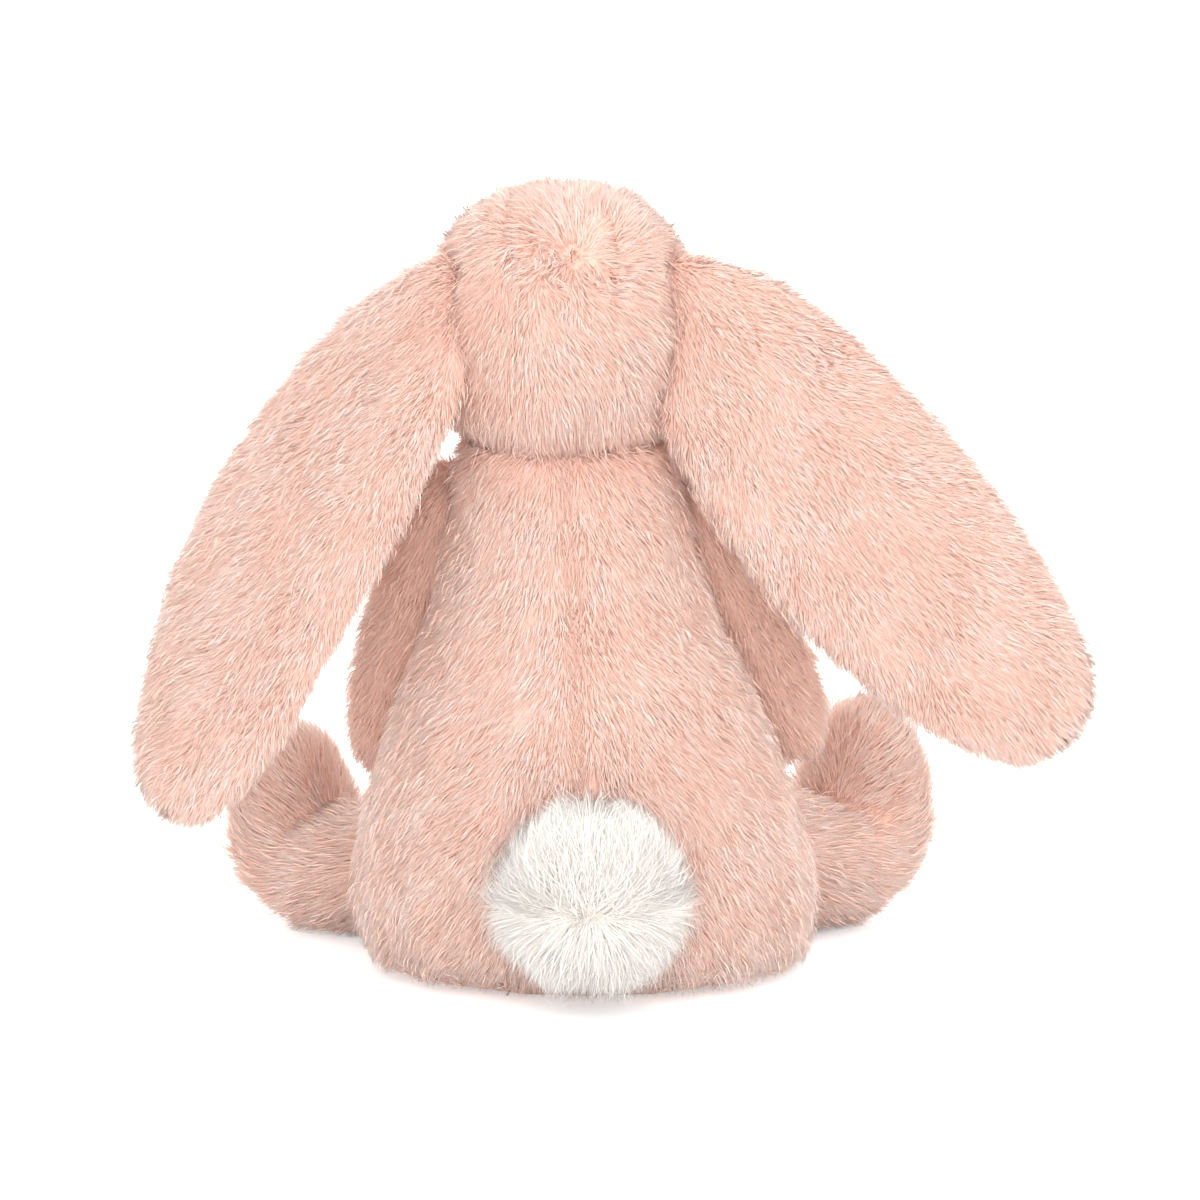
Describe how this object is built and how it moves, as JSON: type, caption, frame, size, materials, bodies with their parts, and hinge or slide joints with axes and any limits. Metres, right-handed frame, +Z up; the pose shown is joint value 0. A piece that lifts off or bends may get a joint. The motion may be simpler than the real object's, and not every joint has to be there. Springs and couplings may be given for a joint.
{
  "type": "plush rabbit",
  "caption": "Sitting plush rabbit with long lop ears, short arms, splayed legs and a fluffy tail; head, ears, arms and legs move at their sewn seams.",
  "frame": {"origin": "centre of the flat base that the rabbit sits on", "axes": "+Z up; the rabbit faces -Y and its left side is +X"},
  "size_m": [0.2336, 0.1523, 0.1959],
  "materials": {
    "pink_fur": "soft pale pink pile, about 8 mm, lying downwards",
    "ear_lining": "the same pink pile, shorter",
    "white_fluff": "long off-white fluff",
    "polyester_fill": "white polyester fibre",
    "pellet_cloth": "plain woven bag of plastic pellets",
    "eye_plastic": "polished black plastic",
    "washer_plastic": "moulded white plastic",
    "nose_thread": "satin-stitched pink thread"
  },
  "bodies": {
    "body": {"body_back_left": "pink_fur", "body_back_right": "pink_fur", "body_belly": "pink_fur", "body_base": "pink_fur", "body_stuffing": "polyester_fill", "seat_pellet_bag": "pellet_cloth", "tail_cover": "white_fluff", "tail_stuffing": "polyester_fill"},
    "head": {"head_side_left": "pink_fur", "head_side_right": "pink_fur", "head_gusset": "pink_fur", "head_stuffing": "polyester_fill", "nose": "nose_thread", "eye_left": "eye_plastic", "eye_right": "eye_plastic", "eye_washer_left": "washer_plastic", "eye_washer_right": "washer_plastic"},
    "ear_left": {"ear_left_back": "pink_fur", "ear_left_lining": "ear_lining"},
    "arm_left": {"arm_left_cover": "pink_fur", "arm_left_stuffing": "polyester_fill"},
    "leg_left": {"leg_left_cover": "pink_fur", "leg_left_sole": "pink_fur", "leg_left_stuffing": "polyester_fill"},
    "ear_right": {"ear_right_back": "pink_fur", "ear_right_lining": "ear_lining"},
    "arm_right": {"arm_right_cover": "pink_fur", "arm_right_stuffing": "polyester_fill"},
    "leg_right": {"leg_right_cover": "pink_fur", "leg_right_sole": "pink_fur", "leg_right_stuffing": "polyester_fill"}
  },
  "joints": [
    {"name": "head_turn", "type": "hinge", "parent": "body", "child": "head", "pos_m": [0.0055, 0, 0.134], "axis": [0, 0, 1], "range_deg": [-15, 15], "stiffness_Nm_per_rad": 0.15},
    {"name": "ear_left_lift", "type": "hinge", "parent": "head", "child": "ear_left", "pos_m": [0.03384, 0.00973, 0.17351], "axis": [0.0643, -0.9903, -0.1234], "range_deg": [0, 50], "stiffness_Nm_per_rad": 0.02},
    {"name": "ear_right_lift", "type": "hinge", "parent": "head", "child": "ear_right", "pos_m": [-0.02124, 0.00972, 0.17351], "axis": [0.103, 0.9877, 0.1177], "range_deg": [0, 50], "stiffness_Nm_per_rad": 0.02},
    {"name": "arm_left_lift", "type": "hinge", "parent": "body", "child": "arm_left", "pos_m": [0.03426, -0.009, 0.118], "axis": [0, -1, 0], "range_deg": [0, 80], "stiffness_Nm_per_rad": 0.02},
    {"name": "arm_right_lift", "type": "hinge", "parent": "body", "child": "arm_right", "pos_m": [-0.02457, -0.009, 0.118], "axis": [0, 1, 0], "range_deg": [0, 80], "stiffness_Nm_per_rad": 0.02},
    {"name": "leg_left_lift", "type": "hinge", "parent": "body", "child": "leg_left", "pos_m": [0.0375, -0.029, 0.0265], "axis": [-0.6018, -0.7986, 0], "range_deg": [0, 18], "stiffness_Nm_per_rad": 0.05},
    {"name": "leg_right_lift", "type": "hinge", "parent": "body", "child": "leg_right", "pos_m": [-0.0375, -0.029, 0.0265], "axis": [-0.7193, 0.6947, 0], "range_deg": [0, 18], "stiffness_Nm_per_rad": 0.05}
  ]
}
